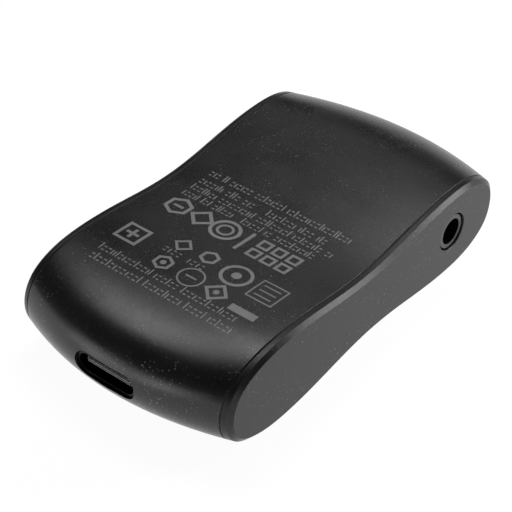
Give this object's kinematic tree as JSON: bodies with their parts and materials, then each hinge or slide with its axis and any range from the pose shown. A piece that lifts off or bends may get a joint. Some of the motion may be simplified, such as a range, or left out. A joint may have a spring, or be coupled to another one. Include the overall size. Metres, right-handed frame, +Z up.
{
  "type": "bluetooth audio receiver",
  "caption": "Pocket wireless audio adapter: wave-shaped anodised sleeve with flat side caps, a charging port in one end and a 3.5 mm audio jack in one side.",
  "frame": {"origin": "centre of the underside's resting plane, below the middle of the casing", "axes": "+X across the width, towards the side cap with the jack; +Y along the length, away from the charging port; +Z up through the thickness, with the function button underneath"},
  "size_m": [0.0322, 0.0591, 0.012],
  "materials": {
    "anodised_shell": "black anodised, bead blasted with fine glitter",
    "anodised_cap": "dark grey anodised, bead blasted",
    "anodised_collar": "dark grey anodised, turned",
    "anodised_button": "dark grey anodised, satin",
    "seam_rubber": "black, matte",
    "frame_plastic": "moulded, matte black",
    "board_laminate": "green solder mask, semi-gloss",
    "screw_steel": "plated",
    "cell_foil": "satin pouch foil",
    "foam": "fine closed-cell foam",
    "lead_insulation": "soft insulation",
    "port_steel": "drawn, dark nickel plated",
    "port_plastic": "moulded, black",
    "contact_gold": "gold plated",
    "knob_plastic": "moulded, fine texture",
    "led_resin": "cast resin",
    "clear_plastic": "translucent, polished",
    "can_metal": "drawn can, satin",
    "chip_epoxy": "moulded epoxy",
    "ceramic_white": "fired ceramic",
    "ceramic_brown": "fired ceramic with tinned ends",
    "print_ink": "pale grey marking, matte"
  },
  "bodies": {
    "root": {"sleeve": "anodised_shell", "right_side_cap": "anodised_cap", "left_side_cap": "anodised_cap", "right_cap_gasket": "seam_rubber", "left_cap_gasket": "seam_rubber", "carrier": "frame_plastic", "main_board": "board_laminate", "board_screws": "screw_steel", "battery_cell": "cell_foil", "battery_pads": "foam", "protection_board": "board_laminate", "battery_leads": "lead_insulation", "usb_shell": "port_steel", "usb_tongue": "port_plastic", "usb_contacts": "contact_gold", "jack_body": "port_plastic", "jack_collar": "anodised_collar", "jack_contacts": "contact_gold", "tactile_switch": "port_plastic", "mode_switch_body": "port_plastic", "status_led": "led_resin", "light_pipe": "clear_plastic", "microphone": "can_metal", "wireless_chip": "chip_epoxy", "charge_chip": "chip_epoxy", "audio_chip": "chip_epoxy", "crystal": "can_metal", "chip_antenna": "ceramic_white", "passives": "ceramic_brown"},
    "function_button": {"function_button": "anodised_button", "switch_plunger": "frame_plastic"},
    "mode_knob": {"mode_switch_knob": "knob_plastic"}
  },
  "joints": [
    {"name": "button_press", "type": "slide", "parent": "root", "child": "function_button", "axis": [0, 0, 1], "range_m": [0, 0.00025], "stiffness_N_per_m": 4000},
    {"name": "mode_slide", "type": "slide", "parent": "root", "child": "mode_knob", "axis": [0, 1, 0], "range_m": [0, 0.002]}
  ]
}
